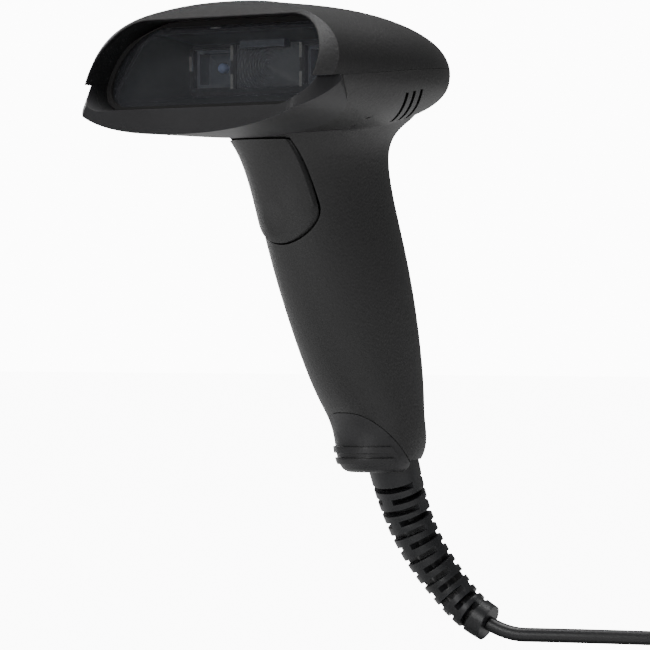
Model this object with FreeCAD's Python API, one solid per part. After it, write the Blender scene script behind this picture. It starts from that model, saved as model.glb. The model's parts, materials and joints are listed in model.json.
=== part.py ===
import FreeCAD, Part
import math
import os

os.makedirs("parts", exist_ok=True)
V = FreeCAD.Vector

# Handheld barcode scanner, in millimetres, +Z up, the window facing -Y.
# The origin is the middle of the grip, on the handle's axis.

# Head
HEAD_HALF_WIDTH = 46.5
HEAD_TOP = 20.7
HEAD_BOTTOM = 18.0
HEAD_REAR = 16.1
HEAD_MID_Z = 63.2
WIDTH_START = -34.0
TOP_START = -36.0
BOTTOM_START = -55.6
WALL = 2.2
FACE_LOW_Y = -73.2
FACE_LOW_Z = 52.0
FACE_SLOPE = 0.51
FACE_FLAT = 39.0
FACE_WRAP = 8.6
FLARE_SIDE = 0.89
FLARE_UP = 1.33
FLARE_DEPTH = 90.0

# Scan window and the tunnel in front of it
TUNNEL_HALF = 42.9
TUNNEL_LOW = 52.2
TUNNEL_HIGH = 79.0
TUNNEL_LOW_ROUND = 10.0
TUNNEL_HIGH_ROUND = 16.0
SEAL_DEPTH = 9.7
SEAL_THICK = 0.8
PANE_THICK = 1.4
PANE_LAP = 1.3
POCKET = WALL + 0.1

# Light funnel and engine
FUNNEL_FRONT = -64.0
ENGINE_FACE = -37.0
ENGINE_HALF = 30.0
ENGINE_LOW = 57.4
ENGINE_HIGH = 72.8
ENGINE_REAR = -13.5
FUNNEL_WALL = 1.3
OPTIC_Z = 66.0

# Handle: it leans back going down
LEAN = 20.3
LEAN_SLOPE = math.tan(math.radians(LEAN))
# height, half width, half depth, forward shift of the centre
HANDLE_RINGS = [
    (-54.2, 7.4, 8.6, 5.7),
    (-52.8, 9.6, 12.0, 4.6),
    (-50.0, 11.3, 14.0, 2.6),
    (-43.7, 13.0, 14.6, 0.0),
    (-29.4, 14.0, 18.9, 0.0),
    (-11.5, 15.0, 23.0, 0.0),
    (14.0, 15.5, 25.4, 0.0),
    (34.0, 15.8, 26.0, 0.0),
    (41.0, 16.9, 27.4, 0.0),
    (46.5, 20.0, 30.4, 0.0),
    (50.5, 25.5, 34.5, 0.0),
    (56.0, 31.0, 37.0, 0.0),
]

# Trigger
TRIGGER_HALF = 11.2
TRIGGER_LOW = 14.0
TRIGGER_HIGH = 44.0
TRIGGER_GAP = 0.5
TRIGGER_BACK = -17.0
OPENING_BACK = -13.3
PIVOT_Y = -29.0
PIVOT_Z = 42.0
PIN_R = 1.2
DISH_R = 30.0

# Handle electronics, in the handle's own leaning frame
SWITCH_Z = 39.0
SWITCH_FACE = -11.0
BOARD_Y = -4.0
BOARD_THICK = 1.6

# Strain relief and cord
RELIEF_R = 7.75
RELIEF_END_R = 5.65
SLOT_COUNT = 13
SLOT_WIDTH = 1.8
CORD_D = 4.4
FLOOR_Z = -105.8
CORD_Z = FLOOR_Z + CORD_D / 2
RELIEF_AXIS = [
    V(0.0, 18.9, -42.0),
    V(0.0, 22.9, -52.7),
    V(0.5, 29.1, -67.5),
    V(3.9, 33.5, -79.0),
    V(8.4, 38.0, -88.2),
    V(14.6, 41.0, -96.0),
    V(20.8, 42.8, -100.3),
]
CORD_ROUTE = [
    V(20.8, 42.8, -100.3),
    V(26.2, 45.0, CORD_Z),
    V(36.5, 48.9, CORD_Z),
    V(52.5, 54.0, CORD_Z),
    V(73.0, 59.0, CORD_Z),
    V(94.6, 62.8, CORD_Z),
]
COIL_X = 89.0
COIL_Y = 94.9
PLUG_TURN = -30.0
COIL_INNER = 17.2
COIL_OUTER = 34.1
COIL_TOP = FLOOR_Z + 3 * CORD_D
TAIL_R = 22.0


def sign_power(value, power):
    return math.copysign(abs(value) ** power, value)


def closed_curve(points):
    curve = Part.BSplineCurve()
    curve.interpolate(Points=points, PeriodicFlag=True)
    return Part.Wire([curve.toShape()])


def box(x0, x1, y0, y1, z0, z1):
    return Part.makeBox(x1 - x0, y1 - y0, z1 - z0, V(x0, y0, z0))


def rod(radius, start, end):
    return Part.makeCylinder(radius, (end - start).Length, start, end - start)


def tube(outer, inner, start, end):
    step = (end - start).normalize()
    return rod(outer, start, end).cut(rod(inner, start - step, end + step))


def lean(shape):
    """Turns a shape made in the handle's own frame onto the leaning handle."""
    shape.rotate(V(0, 0, 0), V(1, 0, 0), LEAN)
    return shape


def mirrored(shape):
    return Part.makeCompound([shape, shape.mirror(V(0, 0, 0), V(1, 0, 0))])


def save(shape, name):
    shape.exportStep("parts/" + name + ".step")
    print(name, round(shape.Volume, 1), shape.isValid(), len(shape.Solids))


# ---- Shared outer forms ----


def fade(y, start, length, power):
    if y <= start:
        return 1.0
    return (1.0 - ((y - start) / length) ** power) ** (1.0 / power)


def head_ring(y, grow):
    width = (HEAD_HALF_WIDTH + grow) * fade(y, WIDTH_START, HEAD_REAR + grow - WIDTH_START, 2.57)
    top = (HEAD_TOP + grow) * fade(y, TOP_START, HEAD_REAR + grow - TOP_START, 2.09)
    bottom = (HEAD_BOTTOM + grow) * fade(y, BOTTOM_START, HEAD_REAR + grow - BOTTOM_START, 2.73)
    points = []
    for k in range(32):
        angle = 2 * math.pi * k / 32
        up = math.sin(angle)
        height = top if up >= 0 else bottom
        power = 2 / 2.28
        x = width * sign_power(math.cos(angle), power)
        points.append(V(x, y, HEAD_MID_Z + height * sign_power(up, power)))
    return closed_curve(points)


def head_solid(grow):
    steps = [66.0, 52.0, 40.0, 29.0, 20.0, 13.0, 8.0, 4.4, 2.0, 0.7, 0.1]
    stations = [-86.0] + [HEAD_REAR + grow - step for step in steps]
    return Part.makeLoft([head_ring(y, grow) for y in stations], True, False)


def handle_ring(z, half_width, half_depth, shift):
    centre = -LEAN_SLOPE * z - shift
    points = []
    for k in range(24):
        angle = 2 * math.pi * k / 24
        x = half_width * sign_power(math.cos(angle), 0.93)
        points.append(V(x, centre + half_depth * sign_power(math.sin(angle), 0.93), z))
    return closed_curve(points)


def handle_solid(grow):
    rings = []
    for z, half_width, half_depth, shift in HANDLE_RINGS:
        rings.append(handle_ring(z, half_width + grow, half_depth + grow, shift))
    return Part.makeLoft(rings, True, False)


def side_profile(points, closing, half_span):
    """A solid across the object, with a curved edge and straight closing corners in the side view."""
    curve = Part.BSplineCurve()
    curve.interpolate(Points=points)
    corners = [points[-1]] + closing + [points[0]]
    wire = Part.Wire([curve.toShape()] + [Part.LineSegment(a, b).toShape() for a, b in zip(corners, corners[1:])])
    face = Part.Face(wire)
    face.translate(V(-half_span, 0, 0))
    return face.extrude(V(2 * half_span, 0, 0))


def below_seam(offset):
    lift = V(0, 0, offset)
    seam = [V(0, -95, 59.3), V(0, -75, 60.0), V(0, -60, 60.8), V(0, -25, 63.7), V(0, 22, 64.4)]
    return side_profile([p + lift for p in seam], [V(0, 22, -90), V(0, -95, -90)], 60)


def face_cut(offset, wrap):
    """Everything in front of the slanted face, whose sides curve back."""
    low = FACE_LOW_Z - 60
    y = FACE_LOW_Y - 60 * FACE_SLOPE + offset
    flat = V(FACE_FLAT, y, low)
    side = V(HEAD_HALF_WIDTH + 0.6, y + wrap, low)
    middle = V(FACE_FLAT + 4.4, y + 0.44 * wrap, low)
    outer = V(60, y + wrap + 14, low)
    edges = [Part.LineSegment(V(-FACE_FLAT, y, low), flat).toShape()]
    curve = Part.Arc(flat, middle, side).toShape()
    line = Part.LineSegment(side, outer).toShape()
    far = Part.LineSegment(outer, V(60, y - 60, low)).toShape()
    edges += [curve, line, far]
    edges += [edge.mirror(V(0, 0, 0), V(1, 0, 0)) for edge in [curve, line, far]]
    edges.append(Part.LineSegment(V(60, y - 60, low), V(-60, y - 60, low)).toShape())
    wire = Part.Wire(Part.__sortEdges__(edges))
    return Part.Face(wire).extrude(V(0, 120 * FACE_SLOPE, 120))


def slab(near, far):
    """A slab parallel to the slanted face, from near to far behind it."""
    low = FACE_LOW_Z - 30
    y = FACE_LOW_Y - 30 * FACE_SLOPE
    corners = [V(-60, y + near, low), V(60, y + near, low), V(60, y + far, low), V(-60, y + far, low)]
    wire = Part.makePolygon(corners + [corners[0]])
    return Part.Face(wire).extrude(V(0, 80 * FACE_SLOPE, 80))


def rounded_plate(half_width, low, high, radius, y, depth):
    plate = box(-half_width, half_width, y, y + depth, low, high)
    edges = [edge for edge in plate.Edges if abs(edge.tangentAt(edge.FirstParameter).y) > 0.9]
    return plate.makeFillet(radius, edges)


def corner(x, z, radius, start_angle):
    spots = []
    for turn in (0, 45, 90):
        angle = math.radians(start_angle + turn)
        spots.append(V(x + radius * math.cos(angle), 0, z + radius * math.sin(angle)))
    return Part.Arc(*spots).toShape()


def opening_wire(out_x, out_z):
    """The window opening's outline, grown sideways and upwards, in the plane Y = 0."""
    half = TUNNEL_HALF + out_x
    low_r = TUNNEL_LOW_ROUND + out_x
    high_r = TUNNEL_HIGH_ROUND + out_x
    low_z = TUNNEL_LOW - out_z + low_r
    high_z = TUNNEL_HIGH + out_z - high_r
    arcs = [
        corner(half - high_r, high_z, high_r, 0),
        corner(high_r - half, high_z, high_r, 90),
        corner(low_r - half, low_z, low_r, 180),
        corner(half - low_r, low_z, low_r, 270),
    ]
    edges = []
    for k in range(4):
        edges.append(arcs[k])
        end = arcs[k].Vertexes[-1].Point
        following = arcs[(k + 1) % 4].Vertexes[0].Point
        edges.append(Part.LineSegment(end, following).toShape())
    return Part.Wire(edges)


def tunnel(grow):
    """The window opening as a straight prism along Y."""
    face = Part.Face(opening_wire(grow, grow))
    face.translate(V(0, -95, 0))
    return face.extrude(V(0, 80, 0))


def flare():
    """The space behind the bright chamfer: it widens from the opening's edge towards the back."""
    slant = FreeCAD.Matrix()
    slant.A23 = FACE_SLOPE
    slant.A24 = FACE_LOW_Y - FACE_SLOPE * FACE_LOW_Z
    front = opening_wire(0.4, 0.4).transformGeometry(slant)
    back = opening_wire(FLARE_SIDE * FLARE_DEPTH, FLARE_UP * FLARE_DEPTH).transformGeometry(slant)
    back.translate(V(0, FLARE_DEPTH, 0))
    return Part.makeLoft([front, back], True, True)


def bumper_zone(offset):
    """The space in front of the bumper's rear edge, seen from above."""
    half = []
    for x in (0, 12, 24, 31, 36, 40, 43, 45.5, 47.5, 49.5, 52):
        half.append(V(x, -46.8 - 14.8 * (x / 47.3) ** 8 + offset, 0))
    points = [V(-p.x, p.y, 0) for p in reversed(half[1:])] + half
    curve = Part.BSplineCurve()
    curve.interpolate(Points=points)
    front = [points[-1], V(52, -140, 0), V(-52, -140, 0), points[0]]
    lines = [Part.LineSegment(a, b).toShape() for a, b in zip(front, front[1:])]
    return Part.Face(Part.Wire([curve.toShape()] + lines)).extrude(V(0, 0, 90))


def cap_zone(offset):
    """The space under the end cap's sloping seam, in front of the strain relief's root."""
    lift = V(0, 0, offset)
    seam = [V(0, -8, -36.6), V(0, -2.5, -36.1), V(0, 1.5, -38.2), V(0, 10.7, -46.1), V(0, 17.6, -51.4)]
    return side_profile([p + lift for p in seam], [V(0, 19.5, -60), V(0, -8, -60)], 30)


def relief_hole(grow):
    return rod(RELIEF_R + grow, V(0, 22.9, -52.7) - RELIEF_UP * 12, V(0, 22.9, -52.7) + RELIEF_UP * 9.4)


RELIEF_UP = V(0, -math.sin(math.radians(LEAN)), math.cos(math.radians(LEAN)))


# ---- Casing ----


def top_cover():
    shell = HEAD_OUTER.cut(below_seam(0.04)).common(flare())
    cavity = HEAD_INNER.cut(slab(-90, SEAL_DEPTH))
    shell = shell.cut(cavity).cut(tunnel(0))
    for x in (-42.4, 42.4):
        for y in (-39, -28):
            stem = box(x - 1.8, x + 1.8, y - 2.5, y + 2.5, 65.2, 70).common(HOOK_REACH)
            tongue = box(x - 1.8, x + 1.8, y - 2.5, y + 2.5, 60.5, 66).common(PANE_REACH)
            shell = shell.fuse(stem).fuse(tongue)
    return shell


def vent_slits():
    slits = []
    for k in range(3):
        start = V(48.5, -30.6 + 3.3 * k, 40)
        slit = box(0, 27.0, -0.5, 0.5, 0, 17.0 + 0.6 * k)
        slit.rotate(V(0, 0, 0), V(0, 0, 1), 141)
        slit.translate(start)
        slits.append(slit)
    return mirrored(Part.makeCompound(slits))


def sound_holes():
    holes = [rod(0.85, V(x, y, 40), V(x, y, 58)) for x, y in [(25.6, -29.1), (33.3, -31.8)]]
    return mirrored(Part.makeCompound(holes))


def trigger_prism(grow):
    half = TRIGGER_HALF + grow
    low = TRIGGER_LOW - grow
    top = TRIGGER_HIGH + grow
    spring_line = low + half
    left = V(-half, -70, spring_line)
    right = V(half, -70, spring_line)
    edges = [
        Part.Arc(left, V(0, -70, low), right).toShape(),
        Part.LineSegment(right, V(half - 0.6, -70, top)).toShape(),
        Part.LineSegment(V(half - 0.6, -70, top), V(0.6 - half, -70, top)).toShape(),
        Part.LineSegment(V(0.6 - half, -70, top), left).toShape(),
    ]
    return Part.Face(Part.Wire(edges)).extrude(V(0, 46, 0))


def trigger_space(grow, back):
    """The trigger's space: it follows the handle's lean, so its back is a leaning plane."""
    return trigger_prism(grow).common(lean(box(-30, 30, -60, back, -20, 90)))


def main_housing():
    outer = HEAD_OUTER.common(below_seam(-0.04)).fuse(HANDLE_OUTER.common(box(-60, 60, -90, 60, -60, 58)))
    outer = outer.cut(face_cut(0, FACE_WRAP)).cut(tunnel(0))
    head_cavity = HEAD_INNER.cut(slab(-90, SEAL_DEPTH))
    cavity = head_cavity.fuse(HANDLE_INNER.common(box(-60, 60, -90, 60, -50.4 + WALL, 58)))
    shell = outer.cut(cavity)
    shell = shell.cut(cap_zone(0.15)).cut(box(-30, 30, 17, 60, -60, -50.4))
    shell = shell.cut(BUMPER_SPACE)
    shell = shell.cut(trigger_space(TRIGGER_GAP, OPENING_BACK)).cut(relief_hole(0.3))
    shell = shell.cut(vent_slits()).cut(sound_holes())
    for side in (-1, 1):
        inner = V(side * 11.5, PIVOT_Y, PIVOT_Z)
        boss = rod(2.6, inner, V(side * 20.0, PIVOT_Y, PIVOT_Z)).common(HANDLE_BOSS_REACH)
        shell = shell.fuse(boss)
    for x, y in CHASSIS_FEET:
        post = rod(3.2, V(x, y, 44), V(x, y, FOOT_Z)).common(HOOK_REACH)
        shell = shell.fuse(post).cut(rod(1.1, V(x, y, FOOT_Z - 1.8), V(x, y, FOOT_Z + 1)))
    return shell.cut(rod(PIN_R + 0.02, V(-13.6, PIVOT_Y, PIVOT_Z), V(13.6, PIVOT_Y, PIVOT_Z)))


def bumper_core(grow):
    """The housing's nose, which the bumper wraps."""
    nose = head_solid(-1.5 + grow).cut(slab(-90, 5.0 - grow))
    return nose.fuse(tunnel(0))


def front_bumper():
    body = head_solid(0.8).common(below_seam(-0.04)).common(bumper_zone(0))
    body = body.cut(face_cut(-0.7, FACE_WRAP))
    return body.cut(bumper_core(0.0))


def end_cap():
    body = HANDLE_OUTER.common(cap_zone(-0.05))
    hollow = handle_solid(-2.6).common(cap_zone(3)).cut(box(-30, 30, -30, 60, -60, -52.0))
    body = body.cut(hollow).cut(relief_hole(0.2))
    skin = handle_solid(0.7).common(cap_zone(-3)).cut(handle_solid(-1.2))
    for z in (-47.4, -50.8):
        band = box(-30, 30, -20, 9.5, z - 1.0, z + 1.0)
        body = body.fuse(skin.common(band))
    return body.removeSplitter()


# ---- Window and optics ----


def window_ring(grow, near, far):
    return tunnel(grow).common(slab(near, far))


def window_seal():
    start = SEAL_DEPTH
    end = SEAL_DEPTH + SEAL_THICK
    ring = window_ring(PANE_LAP, start, end).common(PANE_REACH)
    return ring.cut(window_ring(-1.6, start - 1, end + 1))


def window_pane():
    start = SEAL_DEPTH + SEAL_THICK
    return window_ring(PANE_LAP, start, start + PANE_THICK).common(PANE_REACH)


def funnel_ring(grow, y, half, low, high, radius):
    plate = rounded_plate(half + grow, low - grow, high + grow, radius + grow, y, 1.0)
    faces = [face for face in plate.Faces if abs(face.CenterOfMass.y - y) < 1e-6]
    return faces[0].OuterWire


def funnel(grow, rear):
    front = funnel_ring(grow, FUNNEL_FRONT, TUNNEL_HALF - 0.4, TUNNEL_LOW + 0.4, TUNNEL_HIGH - 0.4, 8.5)
    back = funnel_ring(grow, rear, ENGINE_HALF, ENGINE_LOW, ENGINE_HIGH, 3.0)
    return Part.makeLoft([front, back], True, True)


def optical_chassis():
    start = SEAL_DEPTH + SEAL_THICK + PANE_THICK + 0.1
    body = funnel(FUNNEL_WALL, ENGINE_FACE).cut(funnel(0, ENGINE_FACE)).cut(slab(-90, start))
    wall = box(-31.3, 31.3, ENGINE_FACE, ENGINE_FACE + 1.5, ENGINE_LOW - 1.3, ENGINE_HIGH + 1.3)
    lens_gap = box(-12.2, 12.2, -40, -30, OPTIC_Z - 6.7, OPTIC_Z + 6.7)
    lamp_gaps = mirrored(box(14.0, 28.5, -40, -30, OPTIC_Z - 6.0, OPTIC_Z + 5.4))
    wall = wall.cut(lens_gap).cut(lamp_gaps)
    floor = box(-31.3, 31.3, ENGINE_FACE + 1.5, ENGINE_REAR - 2.4, ENGINE_LOW - 1.3, ENGINE_LOW)
    sides = mirrored(box(29.9, 31.3, ENGINE_FACE + 1.5, ENGINE_REAR - 2.4, ENGINE_LOW, ENGINE_HIGH))
    cradle = box(-8, 8, -34, -22, ENGINE_LOW - 0.1, OPTIC_Z)
    cradle = cradle.cut(rod(6.05, V(0, -36, OPTIC_Z), V(0, -20, OPTIC_Z)))
    body = body.fuse(wall).fuse(floor).fuse(sides).fuse(cradle)
    for x, y in CHASSIS_FEET:
        body = body.fuse(rod(3.2, V(x, y, FOOT_Z + 0.05), V(x, y, ENGINE_LOW - 0.5)))
        body = body.cut(rod(1.15, V(x, y, FOOT_Z - 1), V(x, y, ENGINE_LOW + 1)))
    return body.common(PANE_REACH)


CHASSIS_FEET = [(-25, -30), (25, -30), (-25, -19.5), (25, -19.5)]
FOOT_Z = 51.0


def chassis_screws():
    screws = []
    for x, y in CHASSIS_FEET:
        head = rod(2.0, V(x, y, ENGINE_LOW), V(x, y, ENGINE_LOW + 1.3))
        shank = rod(1.05, V(x, y, FOOT_Z - 1.6), V(x, y, ENGINE_LOW + 0.1))
        slot = box(x - 2.2, x + 2.2, y - 0.25, y + 0.25, ENGINE_LOW + 0.7, ENGINE_LOW + 2)
        screws.append(head.fuse(shank).cut(slot))
    return Part.makeCompound(screws)


def collector_lens():
    y = ENGINE_FACE + 0.1
    plate = box(-12.0, 12.0, y, y + 2.0, OPTIC_Z - 6.5, OPTIC_Z + 6.5)
    for k in range(5):
        ring_r = 2.0 + 1.9 * k
        groove = tube(ring_r + 0.35, ring_r, V(0, y - 1, OPTIC_Z), V(0, y + 0.45, OPTIC_Z))
        plate = plate.cut(groove)
    return plate


def lens_hood():
    """The rounded block over the ring lens."""
    block = box(-8.5, 8.5, ENGINE_FACE - 2.6, ENGINE_FACE - 0.1, OPTIC_Z + 5.2, ENGINE_HIGH + 1.5)
    return block.common(funnel(-0.05, ENGINE_FACE))


def lamp_reflectors():
    y = ENGINE_FACE
    pocket = box(14.1, 28.4, y + 1.6, y + 7.0, OPTIC_Z - 5.9, OPTIC_Z + 5.3)
    hollow = box(15.1, 27.4, y + 1.0, y + 6.0, OPTIC_Z - 4.9, OPTIC_Z + 4.3)
    port = rod(1.6, V(21.2, y + 5, OPTIC_Z), V(21.2, y + 9, OPTIC_Z))
    return mirrored(pocket.cut(hollow).cut(port))


def illumination_lamps():
    y = ENGINE_FACE + 7.05
    stem = rod(1.5, V(21.2, y - 2.2, OPTIC_Z), V(21.2, y + 0.5, OPTIC_Z))
    dome = Part.makeSphere(1.5, V(21.2, y - 2.2, OPTIC_Z))
    base = box(19.4, 23.0, y, y + 1.6, OPTIC_Z - 1.8, OPTIC_Z + 1.8)
    return mirrored(base.fuse(stem).fuse(dome).removeSplitter())


def lamp_board():
    y = ENGINE_FACE + 8.7
    return mirrored(box(13.0, 29.5, y, y + 1.2, OPTIC_Z - 6.5, OPTIC_Z + 5.5))


def lens_clips():
    """Thin wire clips at the corners of the lamp pockets."""
    clip = box(-0.45, 0.45, ENGINE_FACE - 0.8, ENGINE_FACE - 0.1, -2.2, 2.2)
    places = [(-29.0, 67.3), (-13.1, 70.0), (-13.1, 61.6), (13.1, 70.0), (13.1, 61.6), (29.0, 63.8)]
    clips = []
    for x, z in places:
        piece = clip.copy()
        piece.translate(V(x, 0, z))
        clips.append(piece)
    return Part.makeCompound(clips)


def lens_barrel():
    barrel = tube(6.0, 4.6, V(0, -33.5, OPTIC_Z), V(0, -22.5, OPTIC_Z))
    lip = tube(4.7, 3.6, V(0, -24.0, OPTIC_Z), V(0, -22.5, OPTIC_Z))
    return barrel.fuse(lip).removeSplitter()


def objective_lens():
    disc = rod(4.55, V(0, -31.0, OPTIC_Z), V(0, -27.4, OPTIC_Z))
    front = Part.makeSphere(14.0, V(0, -31.0 + 14.0, OPTIC_Z))
    back = Part.makeSphere(14.0, V(0, -27.4 - 14.0, OPTIC_Z))
    return disc.common(front).common(back)


def line_sensor():
    body = box(-16, 16, ENGINE_REAR - 4.0, ENGINE_REAR - 0.8, OPTIC_Z - 4.0, OPTIC_Z + 4.0)
    slot = box(-13, 13, ENGINE_REAR - 4.4, ENGINE_REAR - 3.2, OPTIC_Z - 1.2, OPTIC_Z + 1.2)
    return body.cut(slot)


def sensor_board():
    return box(-29, 29, ENGINE_REAR - 0.8, ENGINE_REAR + 0.8, ENGINE_LOW + 0.2, ENGINE_HIGH + 0.6)


# ---- Head electronics ----

BOARD_POSTS = [(-21, -35.0), (21, -35.0), (-20, -16.5), (20, -16.5)]
MAIN_Z = 75.2


def main_board():
    board = box(-24, 24, -38.0, -13.5, MAIN_Z, MAIN_Z + 1.6)
    holes = [rod(1.2, V(x, y, MAIN_Z - 1), V(x, y, MAIN_Z + 3)) for x, y in BOARD_POSTS]
    return board.cut(Part.makeCompound(holes))


def main_chips():
    top = MAIN_Z + 1.6
    places = [(-12, -32, 7.0, 7.0, 1.2), (6, -31, 5.0, 7.5, 1.4), (-3, -20, 4.0, 3.0, 1.6), (12, -20, 3.0, 3.0, 2.0)]
    return Part.makeCompound([box(x - a, x + a, y - b / 2, y + b / 2, top, top + h) for x, y, a, b, h in places])


def beeper():
    body = rod(5.0, V(0, -7.2, 67.0), V(0, -7.2, 71.5))
    port = rod(1.0, V(0, -7.2, 70.5), V(0, -7.2, 72.0))
    return body.cut(port)


def board_screws():
    screws = []
    for x, y in BOARD_POSTS:
        head = rod(2.0, V(x, y, MAIN_Z + 1.6), V(x, y, MAIN_Z + 2.7))
        shank = rod(1.0, V(x, y, MAIN_Z - 0.9), V(x, y, MAIN_Z + 1.7))
        screws.append(head.fuse(shank).removeSplitter())
    return Part.makeCompound(screws)


def strip(points, thickness, half_width):
    """A flat ribbon along a path in the side view."""
    upper = []
    lower = []
    for k, point in enumerate(points):
        before = points[max(k - 1, 0)]
        after = points[min(k + 1, len(points) - 1)]
        along = (after - before).normalize()
        normal = V(0, -along.z, along.y) * (thickness / 2)
        upper.append(point + normal)
        lower.append(point - normal)
    ring = upper + lower[::-1] + [upper[0]]
    face = Part.Face(Part.makePolygon(ring))
    face.translate(V(-half_width, 0, 0))
    return face.extrude(V(2 * half_width, 0, 0))


def ribbon():
    upper = [V(0, -13.2, 76.0), V(0, -4.5, 74.4), V(0, -1.0, 71.0)]
    lower = [V(0, -1.0, 56.0), V(0, -6.0, 50.0), V(0, -16.2, 46.6)]
    path = upper + lower
    return strip(path, 0.4, 8.0)


# ---- Handle electronics ----


def handle_board():
    return lean(box(-9, 9, BOARD_Y, BOARD_Y + BOARD_THICK, -38, 47))


def switch_body():
    body = box(-4.2, 4.2, SWITCH_FACE + 2.4, BOARD_Y, SWITCH_Z - 4.5, SWITCH_Z + 4.5)
    bore = rod(1.55, V(0, SWITCH_FACE + 2.0, SWITCH_Z), V(0, BOARD_Y - 1.0, SWITCH_Z))
    return lean(body.cut(bore))


def switch_plunger():
    return lean(rod(1.5, V(0, SWITCH_FACE, SWITCH_Z), V(0, SWITCH_FACE + 3.6, SWITCH_Z)))


def handle_chips():
    places = [(0, 20, 4.5, 7.0), (-2, 4, 3.0, 5.0), (3, -8, 2.2, 3.4)]
    y = BOARD_Y + BOARD_THICK
    chips = [box(x - a, x + a, y, y + 1.4, z - h / 2, z + h / 2) for x, z, a, h in places]
    return lean(Part.makeCompound(chips))


def cable_socket():
    y = BOARD_Y + BOARD_THICK
    body = box(-6.6, 6.6, y, y + 11.6, -42, -25)
    cavity = box(-5.0, 5.0, y + 1.6, y + 10.0, -43, -27.5)
    return lean(body.cut(cavity))


def modular_plug():
    y = BOARD_Y + BOARD_THICK + 1.8
    body = box(-4.85, 4.85, y, y + 7.9, -44.0, -28.5)
    spots = (-3, -1.8, -0.6, 0.6, 1.8, 3)
    contacts = [box(x - 0.25, x + 0.25, y - 0.1, y + 1.2, -31.5, -28.0) for x in spots]
    return lean(body.cut(Part.makeCompound(contacts)))


# ---- Trigger ----


def trigger():
    skin = handle_solid(0.9).common(trigger_space(0, TRIGGER_BACK))
    skin = skin.cut(handle_solid(-2.0))
    dish = lean(Part.makeCylinder(DISH_R, 60, V(-30, -24.3 - DISH_R, 31.0), V(1, 0, 0)))
    skin = skin.cut(dish)
    lug = rod(2.7, V(8.4, PIVOT_Y, PIVOT_Z), V(10.8, PIVOT_Y, PIVOT_Z))
    web = box(8.4, 10.8, PIVOT_Y - 16, PIVOT_Y, PIVOT_Z - 2.7, PIVOT_Z + 1.6)
    lugs = mirrored(lug.fuse(web).common(TRIGGER_REACH))
    post = lean(box(-3.0, 3.0, -26, SWITCH_FACE - 0.3, SWITCH_Z - 4.0, SWITCH_Z + 3.0)).common(TRIGGER_REACH)
    body = skin.fuse(lugs).fuse(post)
    return body.cut(rod(PIN_R + 0.05, V(-15, PIVOT_Y, PIVOT_Z), V(15, PIVOT_Y, PIVOT_Z)))


def trigger_pin():
    return rod(PIN_R, V(-13.4, PIVOT_Y, PIVOT_Z), V(13.4, PIVOT_Y, PIVOT_Z))


def trigger_spring():
    """A torsion spring on the pin: its coil as a sleeve, with a leg to the front and one to the back."""
    sleeve = tube(2.3, 1.3, V(4.2, PIVOT_Y, PIVOT_Z), V(7.8, PIVOT_Y, PIVOT_Z))
    front_leg = rod(0.35, V(7.3, PIVOT_Y - 1.8, PIVOT_Z - 0.6), V(7.3, PIVOT_Y - 4.4, PIVOT_Z - 7.4))
    back_leg = rod(0.35, V(4.7, PIVOT_Y + 1.8, PIVOT_Z), V(4.7, PIVOT_Y + 5, PIVOT_Z - 4))
    return sleeve.fuse(front_leg).fuse(back_leg).removeSplitter()


# ---- Strain relief, cord, coil and plug ----


def relief_curve():
    curve = Part.BSplineCurve()
    curve.interpolate(Points=RELIEF_AXIS)
    return curve


def relief_frame(curve, share):
    """Point, direction and the two cross directions at a share of the relief's length."""
    at = curve.FirstParameter + share * (curve.LastParameter - curve.FirstParameter)
    along = curve.tangent(at)[0]
    across = V(1, 0, 0) - along * along.x
    across.normalize()
    return curve.value(at), along, across, along.cross(across)


def relief_radius(share):
    return RELIEF_R + (RELIEF_END_R - RELIEF_R) * max(0.0, (share - 0.18) / 0.82)


def strain_relief():
    curve = relief_curve()
    rings = []
    for k in range(13):
        share = k / 12
        centre, along, across, other = relief_frame(curve, share)
        rings.append(Part.Wire([Part.makeCircle(relief_radius(share), centre, along)]))
    body = Part.makeLoft(rings, True, False)
    cutters = []
    for k in range(SLOT_COUNT):
        share = 0.235 + 0.057 * k
        centre, along, across, other = relief_frame(curve, share)
        radius = relief_radius(share)
        disc = rod(radius + 3, centre - along * (SLOT_WIDTH / 2), centre + along * (SLOT_WIDTH / 2))
        core = rod(0.46 * radius, centre - along * 3, centre + along * 3)
        web = box(-20, 20, -0.25 * radius, 0.25 * radius, -3, 3)
        turn = (across, other) if k % 2 == 0 else (other, across * -1)
        matrix = FreeCAD.Matrix()
        matrix.A11, matrix.A21, matrix.A31 = turn[0].x, turn[0].y, turn[0].z
        matrix.A12, matrix.A22, matrix.A32 = turn[1].x, turn[1].y, turn[1].z
        matrix.A13, matrix.A23, matrix.A33 = along.x, along.y, along.z
        web.Placement = FreeCAD.Placement(centre, FreeCAD.Rotation(matrix))
        cutters.append(disc.cut(core).cut(web))
    body = body.cut(Part.makeCompound(cutters))
    flange_at = RELIEF_AXIS[0]
    flange = rod(8.7, flange_at, flange_at - RELIEF_UP * 2.0)
    return body.fuse(flange).removeSplitter()


def inner_lead():
    top = V(0, 18.9, -42.0)
    return rod(CORD_D / 2, top, top + RELIEF_UP * 1.85)


def bent_path(points):
    """Straight runs joined by tangent arcs, each as large as its two runs allow."""
    edges = []
    start = points[0]
    for a, b, c in zip(points, points[1:], points[2:]):
        into = (b - a).normalize()
        out = (c - b).normalize()
        half_turn = math.acos(max(-1.0, min(1.0, into.dot(out)))) / 2
        reach = 0.45 * min((b - a).Length, (c - b).Length)
        radius = reach / math.tan(half_turn)
        first = b - into * reach
        last = b + out * reach
        toward = (out - into).normalize()
        middle = b + toward * (radius / math.cos(half_turn) - radius)
        edges.append(Part.LineSegment(start, first).toShape())
        edges.append(Part.Arc(first, middle, last).toShape())
        print("bend radius", round(radius, 1))
        start = last
    edges.append(Part.LineSegment(start, points[-1]).toShape())
    length = sum(edge.Length for edge in edges)
    return Part.Wire(edges), length


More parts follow.
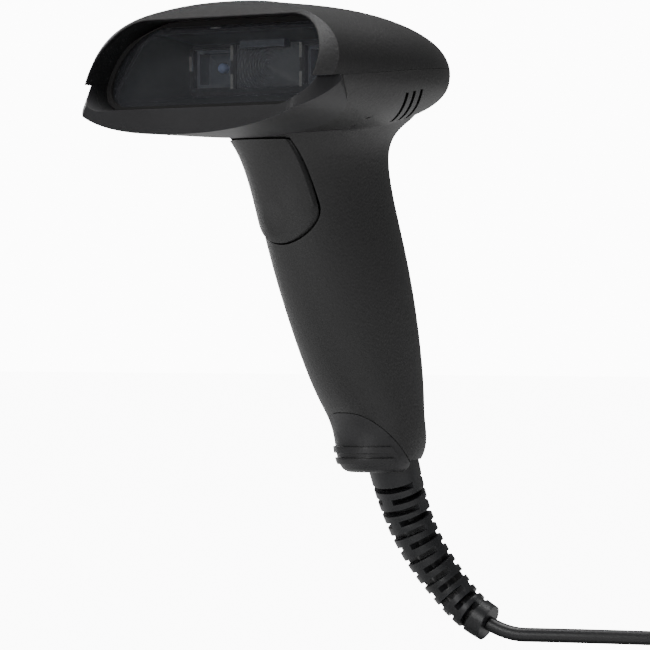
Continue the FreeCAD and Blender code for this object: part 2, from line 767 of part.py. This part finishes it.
def cord():
    path, length = bent_path(CORD_ROUTE)
    circle = Part.makeCircle(CORD_D / 2, CORD_ROUTE[0], CORD_ROUTE[1] - CORD_ROUTE[0])
    body = path.makePipeShell([Part.Wire([circle])], True, False)
    expected = math.pi * CORD_D ** 2 / 4 * length
    print("cord length", round(length, 1))
    print("volume against section times length", round(body.Volume / expected, 4))
    return body


def cord_coil():
    section = box(COIL_INNER, COIL_OUTER, -0.001, 0, FLOOR_Z, COIL_TOP)
    face = [f for f in section.Faces if abs(f.CenterOfMass.y) < 1e-9][0]
    ring = face.revolve(V(0, 0, 0), V(0, 0, 1), 360)
    ring = ring.makeFillet(1.8, ring.Edges)
    ring.translate(V(COIL_X, COIL_Y, 0))
    return ring


def cord_tail():
    """The last half turn, which lies on the coil and runs into the plug."""
    torus = Part.makeTorus(TAIL_R, CORD_D / 2, V(0, 0, COIL_TOP + CORD_D / 2 + 0.05))
    return on_coil(torus.common(box(-50, 0, -50, 50, -120, -60)))


def coil_tie():
    outer = box(-3.5, 3.5, COIL_INNER - 0.9, COIL_OUTER + 0.9, FLOOR_Z, COIL_TOP + 0.9)
    inner = box(-5, 5, COIL_INNER + 0.3, COIL_OUTER - 0.3, FLOOR_Z + 0.6, COIL_TOP - 0.1)
    tie = outer.cut(inner)
    tie.rotate(V(0, 0, 0), V(0, 0, 1), -60)
    tie.translate(V(COIL_X, COIL_Y, 0))
    return tie


PLUG_Z = COIL_TOP + 4.2


def on_coil(shape):
    """Turns a piece of the plug, made along +X from the coil's lowest side, to where it lies."""
    shape.rotate(V(0, 0, 0), V(0, 0, 1), PLUG_TURN)
    shape.translate(V(COIL_X, COIL_Y, 0))
    return shape


def plug_grip():
    neck = rod(3.4, V(0, -TAIL_R, COIL_TOP + 3.4), V(5, -TAIL_R, COIL_TOP + 3.8))
    body = box(4, 29, -TAIL_R - 7.8, -TAIL_R + 7.8, PLUG_Z - 4.1, PLUG_Z + 4.1)
    long_edges = [edge for edge in body.Edges if abs(edge.tangentAt(edge.FirstParameter).x) > 0.9]
    body = body.makeFillet(1.8, long_edges)
    return on_coil(body.fuse(neck).removeSplitter())


def plug_shell():
    outer = box(29, 41, -TAIL_R - 6.0, -TAIL_R + 6.0, PLUG_Z - 2.25, PLUG_Z + 2.25)
    inner = box(28, 42, -TAIL_R - 5.6, -TAIL_R + 5.6, PLUG_Z - 1.85, PLUG_Z + 1.85)
    shell = outer.cut(inner)
    for side in (-2.8, 2.8):
        shell = shell.cut(box(34, 36.5, -TAIL_R + side - 1.2, -TAIL_R + side + 1.2, PLUG_Z - 3, PLUG_Z + 3))
    return on_coil(shell)


def plug_tongue():
    return on_coil(box(29, 39.6, -TAIL_R - 5.5, -TAIL_R + 5.5, PLUG_Z - 1.8, PLUG_Z))


HEAD_OUTER = head_solid(0)
HEAD_INNER = head_solid(-WALL)
HANDLE_OUTER = handle_solid(0)
HANDLE_INNER = handle_solid(-WALL)
HOOK_REACH = head_solid(-1.0)
PANE_REACH = head_solid(-WALL - 0.1)
HANDLE_BOSS_REACH = handle_solid(-1.0)
TRIGGER_REACH = handle_solid(0)
BUMPER_SPACE = head_solid(4).common(bumper_zone(0.15)).cut(bumper_core(-0.15))

PIECES = [
    top_cover,
    main_housing,
    front_bumper,
    end_cap,
    window_seal,
    window_pane,
    optical_chassis,
    chassis_screws,
    collector_lens,
    lens_hood,
    lamp_reflectors,
    illumination_lamps,
    lamp_board,
    lens_clips,
    lens_barrel,
    objective_lens,
    line_sensor,
    sensor_board,
    main_board,
    main_chips,
    board_screws,
    beeper,
    ribbon,
    handle_board,
    handle_chips,
    switch_body,
    switch_plunger,
    cable_socket,
    modular_plug,
    trigger,
    trigger_pin,
    trigger_spring,
    inner_lead,
    strain_relief,
    cord,
    cord_coil,
    cord_tail,
    coil_tie,
    plug_grip,
    plug_shell,
    plug_tongue,
]

for piece in PIECES:
    save(piece(), piece.__name__)
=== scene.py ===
import json
import math

import bpy
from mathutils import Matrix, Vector


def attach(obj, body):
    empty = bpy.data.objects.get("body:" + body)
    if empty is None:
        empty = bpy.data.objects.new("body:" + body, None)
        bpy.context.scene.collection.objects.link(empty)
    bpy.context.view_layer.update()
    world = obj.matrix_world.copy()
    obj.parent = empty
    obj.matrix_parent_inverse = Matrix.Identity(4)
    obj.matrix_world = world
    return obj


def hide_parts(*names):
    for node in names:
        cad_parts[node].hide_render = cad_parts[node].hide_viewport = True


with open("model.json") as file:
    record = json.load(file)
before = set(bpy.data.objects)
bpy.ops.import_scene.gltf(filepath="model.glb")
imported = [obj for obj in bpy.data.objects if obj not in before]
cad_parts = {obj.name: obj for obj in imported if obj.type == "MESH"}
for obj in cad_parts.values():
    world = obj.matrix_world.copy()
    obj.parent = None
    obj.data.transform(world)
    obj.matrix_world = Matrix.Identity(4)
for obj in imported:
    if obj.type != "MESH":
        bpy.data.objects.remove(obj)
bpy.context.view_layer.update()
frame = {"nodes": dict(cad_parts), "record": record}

NODES = frame["nodes"]

# ---- Camera, light and floor ----

VIEW_AZIMUTH = math.radians(39.0)
VIEW_DISTANCE = 1.40
VIEW_WIDTH = 0.1941
AIM = Vector((-0.0050, -0.0041, -0.0100))
FLOOR_Z = -0.1058
CORD_D = 0.0044
AIR_LIGHT = 0.20
BACKDROP_LIGHT = 12.0
LAMPS = [
    ("key", (-0.20, -0.50, 1.10), (0.6, 0.4), 4.0),
    ("side", (0.28, -1.05, 0.20), (0.35, 0.5), 4.5),
    ("top", (0.00, 0.20, 1.20), (0.9, 0.5), 12.0),
    ("rim", (-0.90, 0.35, 0.20), (0.3, 0.9), 3.0),
]
CORD_Z = FLOOR_Z + CORD_D / 2


def aim_at(thing, target):
    thing.rotation_euler = (target - thing.location).to_track_quat("-Z", "Y").to_euler()


def make_camera():
    data = bpy.data.cameras.new("view")
    data.sensor_width = 36.0
    data.lens = 36.0 * VIEW_DISTANCE / VIEW_WIDTH
    camera = bpy.data.objects.new("view", data)
    back = Vector((math.sin(VIEW_AZIMUTH), -math.cos(VIEW_AZIMUTH), 0.0))
    camera.location = AIM + back * VIEW_DISTANCE
    aim_at(camera, AIM)
    bpy.context.scene.collection.objects.link(camera)
    bpy.context.scene.camera = camera


def make_light(name, place, size, power):
    data = bpy.data.lights.new(name, "AREA")
    data.shape = "RECTANGLE"
    data.size = size[0]
    data.size_y = size[1]
    data.energy = power
    lamp = bpy.data.objects.new(name, data)
    lamp.location = place
    aim_at(lamp, Vector((0.0, 0.0, 0.0)))
    bpy.context.scene.collection.objects.link(lamp)


def make_studio():
    mesh = bpy.data.meshes.new("studio_floor")
    reach = 6.0
    corners = [(-reach, -reach), (reach, -reach), (reach, reach), (-reach, reach)]
    mesh.from_pydata([(x, y, FLOOR_Z) for x, y in corners], [], [(0, 1, 2, 3)])
    floor = bpy.data.objects.new("studio_floor", mesh)
    bpy.context.scene.collection.objects.link(floor)
    material = bpy.data.materials.new("studio_white")
    material.use_nodes = True
    shader = material.node_tree.nodes["Principled BSDF"]
    shader.inputs["Base Color"].default_value = (0.86, 0.86, 0.86, 1.0)
    shader.inputs["Roughness"].default_value = 0.9
    nodes = material.node_tree.nodes
    link = material.node_tree.links.new
    glow = nodes.new("ShaderNodeEmission")
    glow.inputs["Color"].default_value = (1.0, 1.0, 1.0, 1.0)
    glow.inputs["Strength"].default_value = BACKDROP_LIGHT
    seen = nodes.new("ShaderNodeLightPath")
    share = nodes.new("ShaderNodeMath")
    share.operation = "MULTIPLY"
    share.inputs[1].default_value = 0.9
    link(seen.outputs["Is Camera Ray"], share.inputs[0])
    blend = nodes.new("ShaderNodeMixShader")
    link(share.outputs["Value"], blend.inputs[0])
    link(shader.outputs["BSDF"], blend.inputs[1])
    link(glow.outputs["Emission"], blend.inputs[2])
    link(blend.outputs["Shader"], nodes["Material Output"].inputs["Surface"])
    mesh.materials.append(material)
    world = bpy.data.worlds.new("studio_air")
    bpy.context.scene.world = world
    world.use_nodes = True
    nodes = world.node_tree.nodes
    nodes["Background"].inputs["Color"].default_value = (1.0, 1.0, 1.0, 1.0)
    seen = nodes.new("ShaderNodeLightPath")
    strength = nodes.new("ShaderNodeMapRange")
    strength.inputs["To Min"].default_value = AIR_LIGHT
    strength.inputs["To Max"].default_value = BACKDROP_LIGHT
    world.node_tree.links.new(seen.outputs["Is Camera Ray"], strength.inputs["Value"])
    world.node_tree.links.new(strength.outputs["Result"], nodes["Background"].inputs["Strength"])
    for name, place, size, power in LAMPS:
        make_light(name, place, size, power)


# ---- Shader tools ----


class Shader:
    """One material with its Principled shader, and short calls to add and join nodes."""

    def __init__(self, name):
        self.material = bpy.data.materials.new(name)
        self.material.use_nodes = True
        self.nodes = self.material.node_tree.nodes
        self.links = self.material.node_tree.links
        self.main = self.nodes["Principled BSDF"]

    def add(self, kind, **values):
        node = self.nodes.new(kind)
        for key, value in values.items():
            if key in node.inputs:
                node.inputs[key].default_value = value
            else:
                setattr(node, key, value)
        return node

    def join(self, source, target):
        self.links.new(source, target)

    def group(self, tree, **values):
        node = self.nodes.new("ShaderNodeGroup")
        node.node_tree = tree
        for key, value in values.items():
            node.inputs[key.replace("_", " ")].default_value = value
        return node

    def set(self, **values):
        for key, value in values.items():
            self.main.inputs[key.replace("_", " ")].default_value = value


def new_group(name, inputs, outputs):
    tree = bpy.data.node_groups.new(name, "ShaderNodeTree")
    for socket, kind, value in inputs:
        made = tree.interface.new_socket(socket, in_out="INPUT", socket_type=kind)
        made.default_value = value
    for socket, kind in outputs:
        tree.interface.new_socket(socket, in_out="OUTPUT", socket_type=kind)
    return tree, tree.nodes.new("NodeGroupInput"), tree.nodes.new("NodeGroupOutput")


def moulded_grain_group():
    """Grain, tone, roughness and lighter edges of a moulded skin, in the object's own space; the lighter edges are
    painted edge highlight, partly also rubbed wear.
    """
    inputs = [
        ("Colour", "NodeSocketColor", (0.03, 0.03, 0.03, 1.0)),
        ("Rub Colour", "NodeSocketColor", (0.08, 0.08, 0.08, 1.0)),
        ("Grain Size", "NodeSocketFloat", 1500.0),
        ("Grain Depth", "NodeSocketFloat", 0.25),
        ("Roughness", "NodeSocketFloat", 0.5),
        ("Edge Rub", "NodeSocketFloat", 0.5),
    ]
    outputs = [("Colour", "NodeSocketColor"), ("Roughness", "NodeSocketFloat"), ("Normal", "NodeSocketVector")]
    tree, given, out = new_group("moulded_grain", inputs, outputs)
    nodes = tree.nodes
    link = tree.links.new
    place = nodes.new("ShaderNodeTexCoord")
    fine = nodes.new("ShaderNodeTexNoise")
    fine.inputs["Detail"].default_value = 3.0
    fine.inputs["Roughness"].default_value = 0.6
    link(place.outputs["Object"], fine.inputs["Vector"])
    link(given.outputs["Grain Size"], fine.inputs["Scale"])
    bump = nodes.new("ShaderNodeBump")
    bump.inputs["Distance"].default_value = 0.0002
    link(fine.outputs["Fac"], bump.inputs["Height"])
    link(given.outputs["Grain Depth"], bump.inputs["Strength"])
    broad = nodes.new("ShaderNodeTexNoise")
    broad.inputs["Scale"].default_value = 45.0
    broad.inputs["Detail"].default_value = 4.0
    link(place.outputs["Object"], broad.inputs["Vector"])
    tone = nodes.new("ShaderNodeMapRange")
    tone.inputs["From Min"].default_value = 0.3
    tone.inputs["From Max"].default_value = 0.7
    tone.inputs["To Min"].default_value = 0.88
    tone.inputs["To Max"].default_value = 1.12
    link(broad.outputs["Fac"], tone.inputs["Value"])
    toned = nodes.new("ShaderNodeVectorMath")
    toned.operation = "SCALE"
    link(given.outputs["Colour"], toned.inputs[0])
    link(tone.outputs["Result"], toned.inputs["Scale"])
    # lighter edges, painted edge highlight and partly rubbed wear: where a widely rounded normal leaves the true one
    corner = nodes.new("ShaderNodeBevel")
    corner.samples = 4
    corner.inputs["Radius"].default_value = 0.0009
    true_normal = nodes.new("ShaderNodeNewGeometry")
    match = nodes.new("ShaderNodeVectorMath")
    match.operation = "DOT_PRODUCT"
    link(corner.outputs["Normal"], match.inputs[0])
    link(true_normal.outputs["Normal"], match.inputs[1])
    edge = nodes.new("ShaderNodeMapRange")
    edge.inputs["From Min"].default_value = 0.995
    edge.inputs["From Max"].default_value = 0.85
    link(match.outputs["Value"], edge.inputs["Value"])
    patchy = nodes.new("ShaderNodeMath")
    patchy.operation = "MULTIPLY"
    link(edge.outputs["Result"], patchy.inputs[0])
    link(broad.outputs["Fac"], patchy.inputs[1])
    rubbed_and_lit = nodes.new("ShaderNodeMath")
    rubbed_and_lit.operation = "MULTIPLY"
    rubbed_and_lit.use_clamp = True
    link(patchy.outputs["Value"], rubbed_and_lit.inputs[0])
    link(given.outputs["Edge Rub"], rubbed_and_lit.inputs[1])
    mix = nodes.new("ShaderNodeMix")
    mix.data_type = "RGBA"
    link(rubbed_and_lit.outputs["Value"], mix.inputs[0])
    link(toned.outputs["Vector"], mix.inputs[6])
    link(given.outputs["Rub Colour"], mix.inputs[7])
    link(mix.outputs[2], out.inputs["Colour"])
    polish = nodes.new("ShaderNodeMapRange")
    polish.inputs["To Min"].default_value = -0.06
    polish.inputs["To Max"].default_value = 0.06
    link(broad.outputs["Fac"], polish.inputs["Value"])
    rough = nodes.new("ShaderNodeMath")
    rough.operation = "ADD"
    link(given.outputs["Roughness"], rough.inputs[0])
    link(polish.outputs["Result"], rough.inputs[1])
    link(rough.outputs["Value"], out.inputs["Roughness"])
    link(bump.outputs["Normal"], out.inputs["Normal"])
    return tree


# rub_and_highlight is the lighter colour mixed in along edges: painted edge highlight, partly also rubbed wear
def grained(name, colour, rub_and_highlight, roughness, size=1500.0, depth=0.25, edge=0.5):
    shader = Shader(name)
    look = shader.group(
        GRAIN,
        Colour=(*colour, 1.0),
        Rub_Colour=(*rub_and_highlight, 1.0),
        Grain_Size=size,
        Grain_Depth=depth,
        Roughness=roughness,
        Edge_Rub=edge,
    )
    shader.join(look.outputs["Colour"], shader.main.inputs["Base Color"])
    shader.join(look.outputs["Roughness"], shader.main.inputs["Roughness"])
    shader.join(look.outputs["Normal"], shader.main.inputs["Normal"])
    return shader


def metal(name, colour, roughness):
    shader = grained(name, colour, colour, roughness, 2400.0, 0.08, 0.0)
    shader.set(Metallic=1.0)
    return shader


def clear(name, colour, roughness, alpha):
    shader = grained(name, colour, colour, roughness, 400.0, 0.01, 0.0)
    shader.set(Alpha=alpha, IOR=1.49)
    shader.main.inputs["Specular IOR Level"].default_value = 0.5
    return shader


GRAIN = moulded_grain_group()

# in each finish the second colour and the last number lighten edges: painted edge highlight, partly also rubbed wear
FINISHES = {
    "case_black": grained("case_plastic", (0.0115, 0.0115, 0.012), (0.030, 0.030, 0.032), 0.50, 1300.0, 0.8),
    "bumper_rubber": grained("bumper_rubber", (0.0115, 0.0115, 0.013), (0.028, 0.028, 0.031), 0.50, 1100.0, 0.22),
    "window": clear("window_clear", (0.085, 0.09, 0.10), 0.04, 0.20),
    "seal_foam": grained("seal_foam", (0.008, 0.008, 0.008), (0.01, 0.01, 0.01), 0.9, 2500.0, 0.6, 0.0),
    "optic_black": grained("optic_black", (0.026, 0.026, 0.028), (0.07, 0.07, 0.075), 0.32, 1200.0, 0.1, 0.6),
    "lens_clear": clear("lens_resin", (0.11, 0.115, 0.125), 0.14, 0.90),
    "reflector": grained("reflector_grey", (0.09, 0.10, 0.12), (0.2, 0.2, 0.21), 0.28, 900.0, 0.05, 0.8),
    "lamp": clear("lamp_resin", (0.30, 0.38, 0.62), 0.15, 0.85),
    "board_green": grained("board_lacquer", (0.010, 0.045, 0.022), (0.10, 0.10, 0.06), 0.35, 500.0, 0.1, 0.4),
    "chip_black": grained("chip_resin", (0.014, 0.014, 0.014), (0.04, 0.04, 0.04), 0.6, 2200.0, 0.2, 0.2),
    "steel": metal("screw_steel", (0.50, 0.50, 0.51), 0.32),
    "plated": metal("nickel_plate", (0.78, 0.78, 0.76), 0.2),
    "ribbon": grained("ribbon_film", (0.30, 0.15, 0.04), (0.35, 0.2, 0.08), 0.35, 300.0, 0.05, 0.0),
    "clear_plug": clear("jack_clear", (0.75, 0.77, 0.8), 0.1, 0.5),
    "relief_rubber": grained("relief_rubber", (0.010, 0.0105, 0.012), (0.035, 0.036, 0.040), 0.42, 1100.0, 0.20, 0.7),
    "cord_sheath": grained("cord_vinyl", (0.016, 0.016, 0.0175), (0.03, 0.03, 0.03), 0.42, 1300.0, 0.12, 0.0),
    "tie": grained("tie_strap", (0.012, 0.012, 0.013), (0.03, 0.03, 0.03), 0.8, 1500.0, 0.6, 0.2),
    "tongue": grained("tongue_plastic", (0.75, 0.75, 0.72), (0.8, 0.8, 0.78), 0.45, 900.0, 0.05, 0.0),
}


# how far each piece's sharp edges are rounded, in metres
SOFT_EDGED = {
    "top_cover": 0.00025,
    "main_housing": 0.0003,
    "front_bumper": 0.00035,
    "end_cap": 0.0003,
    "trigger": 0.0006,
    "strain_relief": 0.00025,
    "plug_grip": 0.0005,
}


def soften_edges(node, width):
    weld = node.modifiers.new("join_faces", "WELD")
    weld.merge_threshold = 0.00001
    round_over = node.modifiers.new("round_edges", "BEVEL")
    round_over.width = width
    round_over.segments = 2
    round_over.limit_method = "ANGLE"
    round_over.angle_limit = math.radians(38.0)
    round_over.use_clamp_overlap = True
    even = node.modifiers.new("even_normals", "WEIGHTED_NORMAL")
    even.keep_sharp = False


def dress_nodes():
    slots = {part["node"]: part["material_slot"] for part in frame["record"]["subparts"]}
    for name, node in NODES.items():
        material = FINISHES[slots[name]].material
        for place in node.material_slots:
            place.material = material
        for face in node.data.polygons:
            face.use_smooth = True
        if name in SOFT_EDGED:
            soften_edges(node, SOFT_EDGED[name])


# ---- Near-black strips along the cover's seam, painted shade in the seam's groove ----

STRIP_X = (0.0450, 0.0454)
STRIP_REACH = (-0.0655, -0.0425)
STRIP_LOW = 0.0002
STRIP_HIGH = 0.0006
SEAM_START = (-0.0600, 0.0609)
SEAM_SLOPE = 0.070


def seam_heights():
    """The cover's lower edge near its sides, as (y, z) from front to back."""
    node = NODES["top_cover"]
    lowest = {}
    for vertex in node.data.vertices:
        spot = node.matrix_world @ vertex.co
        if abs(spot.x) < 0.0425 or not STRIP_REACH[0] < spot.y < STRIP_REACH[1]:
            continue
        if abs(spot.z - SEAM_START[1] - SEAM_SLOPE * (spot.y - SEAM_START[0])) > 0.0005:
            continue
        key = round(spot.y, 4)
        lowest[key] = min(lowest.get(key, 1.0), spot.z)
    return sorted(lowest.items())


# thin near-black sheets along the seam: painted shade where the groove between cover and housing lies in shadow
def make_seam_shade_strips():
    track = seam_heights()
    for side in (-1, 1):
        points = []
        for y, z in track:
            for x, rise in ((0, -STRIP_LOW), (1, -STRIP_LOW), (1, STRIP_HIGH), (0, STRIP_HIGH)):
                points.append((side * STRIP_X[x], y, z + rise))
        faces = [(0, 1, 2, 3), tuple(len(points) - 4 + k for k in (3, 2, 1, 0))]
        for k in range(len(track) - 1):
            for j in range(4):
                a = 4 * k + j
                b = 4 * k + (j + 1) % 4
                faces.append((a, a + 4, b + 4, b))
        mesh = bpy.data.meshes.new("seam_shade_strip")
        mesh.from_pydata(points, [], faces)
        mesh.update()
        strip = bpy.data.objects.new("seam_shade_strip_right" if side > 0 else "seam_shade_strip_left", mesh)
        bpy.context.scene.collection.objects.link(strip)
        # the near-black seal foam colour on these strips is painted shade for the seam's groove
        mesh.materials.append(FINISHES["seal_foam"].material)
        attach(strip, "root")


# ---- Ringed lens ----

LENS_HALF = (0.0120, 0.0065)
LENS_CENTRE = (0.0, 0.0660)
LENS_FRONT = -0.0369
LENS_THICK = 0.0020
RING_PITCH = 0.00105
RING_RISE = 0.00035


def make_ringed_lens():
    """A clear plate whose front is moulded in sawtooth rings round its middle."""
    across, up = 144, 78
    points = []
    faces = []
    for j in range(up + 1):
        for i in range(across + 1):
            x = LENS_HALF[0] * (2.0 * i / across - 1.0)
            z = LENS_HALF[1] * (2.0 * j / up - 1.0)
            tooth = (math.hypot(x, z) % RING_PITCH) / RING_PITCH
            inside = 0 < i < across and 0 < j < up
            sink = RING_RISE * tooth if inside else RING_RISE
            points.append((x + LENS_CENTRE[0], LENS_FRONT + sink, z + LENS_CENTRE[1]))
    row = across + 1
    for j in range(up):
        for i in range(across):
            at = j * row + i
            faces.append((at, at + 1, at + row + 1, at + row))
    rim = list(range(0, row)) + [j * row + across for j in range(1, up + 1)]
    rim += [up * row + i for i in range(across - 1, -1, -1)]
    rim += [j * row for j in range(up - 1, 0, -1)]
    back = len(points)
    for at in rim:
        points.append((points[at][0], LENS_FRONT + LENS_THICK, points[at][2]))
    count = len(rim)
    for k in range(count):
        following = (k + 1) % count
        faces.append((rim[following], rim[k], back + k, back + following))
    faces.append([back + k for k in range(count)])
    mesh = bpy.data.meshes.new("ringed_lens")
    mesh.from_pydata(points, [], faces)
    mesh.update()
    lens = bpy.data.objects.new("ringed_lens", mesh)
    bpy.context.scene.collection.objects.link(lens)
    mesh.materials.append(FINISHES["lens_clear"].material)
    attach(lens, "root")
    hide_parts("collector_lens")


# ---- Cord ----

CORD_ROUTE = [
    (0.0208, 0.0428, -0.1003),
    (0.0262, 0.0450, CORD_Z),
    (0.0365, 0.0489, CORD_Z),
    (0.0525, 0.0540, CORD_Z),
    (0.0730, 0.0590, CORD_Z),
    (0.0946, 0.0628, CORD_Z),
]
COIL_AT = (0.0890, 0.0949)
COIL_FIRST = math.radians(-80.1)
NECK_ANGLE = math.radians(-120.0)
TAIL_RADIUS = 0.022
COIL_RADII = (0.0326, 0.0194)
TURNS_PER_LAYER = 4
POINTS_PER_TURN = 14


def coil_points():
    """Three flat layers wound out-in, in-out, out-in, then half a turn on top, ending at the plug."""
    points = []
    outer, inner = COIL_RADII
    steps = TURNS_PER_LAYER * POINTS_PER_TURN
    last_steps = round((TURNS_PER_LAYER - 0.62) * POINTS_PER_TURN)
    angle = COIL_FIRST
    for layer in range(3):
        count = steps if layer < 2 else last_steps
        for k in range(count):
            share = k / steps
            radius = outer + (inner - outer) * (share if layer % 2 == 0 else 1.0 - share)
            angle += 2 * math.pi / POINTS_PER_TURN
            points.append(
                (
                    COIL_AT[0] + radius * math.cos(angle),
                    COIL_AT[1] + radius * math.sin(angle),
                    CORD_Z + CORD_D * layer,
                )
            )
    end = NECK_ANGLE + 2 * math.pi * math.ceil((angle - NECK_ANGLE) / (2 * math.pi))
    rise = end - angle
    count = max(6, round(rise / (2 * math.pi) * POINTS_PER_TURN))
    for k in range(1, count + 1):
        share = k / count
        turn = angle + rise * share
        lift = min(1.0, share * 2.2)
        radius_now = radius + (TAIL_RADIUS - radius) * lift
        points.append(
            (
                COIL_AT[0] + radius_now * math.cos(turn),
                COIL_AT[1] + radius_now * math.sin(turn),
                CORD_Z + CORD_D * (2 + lift),
            )
        )
    last = points[-1]
    heading = NECK_ANGLE + math.pi / 2
    points.append((last[0] + 0.004 * math.cos(heading), last[1] + 0.004 * math.sin(heading), last[2]))
    return points


def make_cord():
    data = bpy.data.curves.new("lead", "CURVE")
    data.dimensions = "3D"
    points = CORD_ROUTE + coil_points()
    spline = data.splines.new("NURBS")
    spline.points.add(len(points) - 1)
    for place, point in zip(points, spline.points):
        point.co = (*place, 1.0)
    spline.use_endpoint_u = True
    spline.order_u = 3
    spline.resolution_u = 6
    data.bevel_depth = CORD_D / 2
    data.bevel_resolution = 5
    data.use_fill_caps = True
    lead = bpy.data.objects.new("lead", data)
    bpy.context.scene.collection.objects.link(lead)
    data.materials.append(FINISHES["cord_sheath"].material)
    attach(lead, "root")
    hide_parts("cord", "cord_coil", "cord_tail")


make_camera()
make_studio()
dress_nodes()
make_seam_shade_strips()
make_ringed_lens()
make_cord()
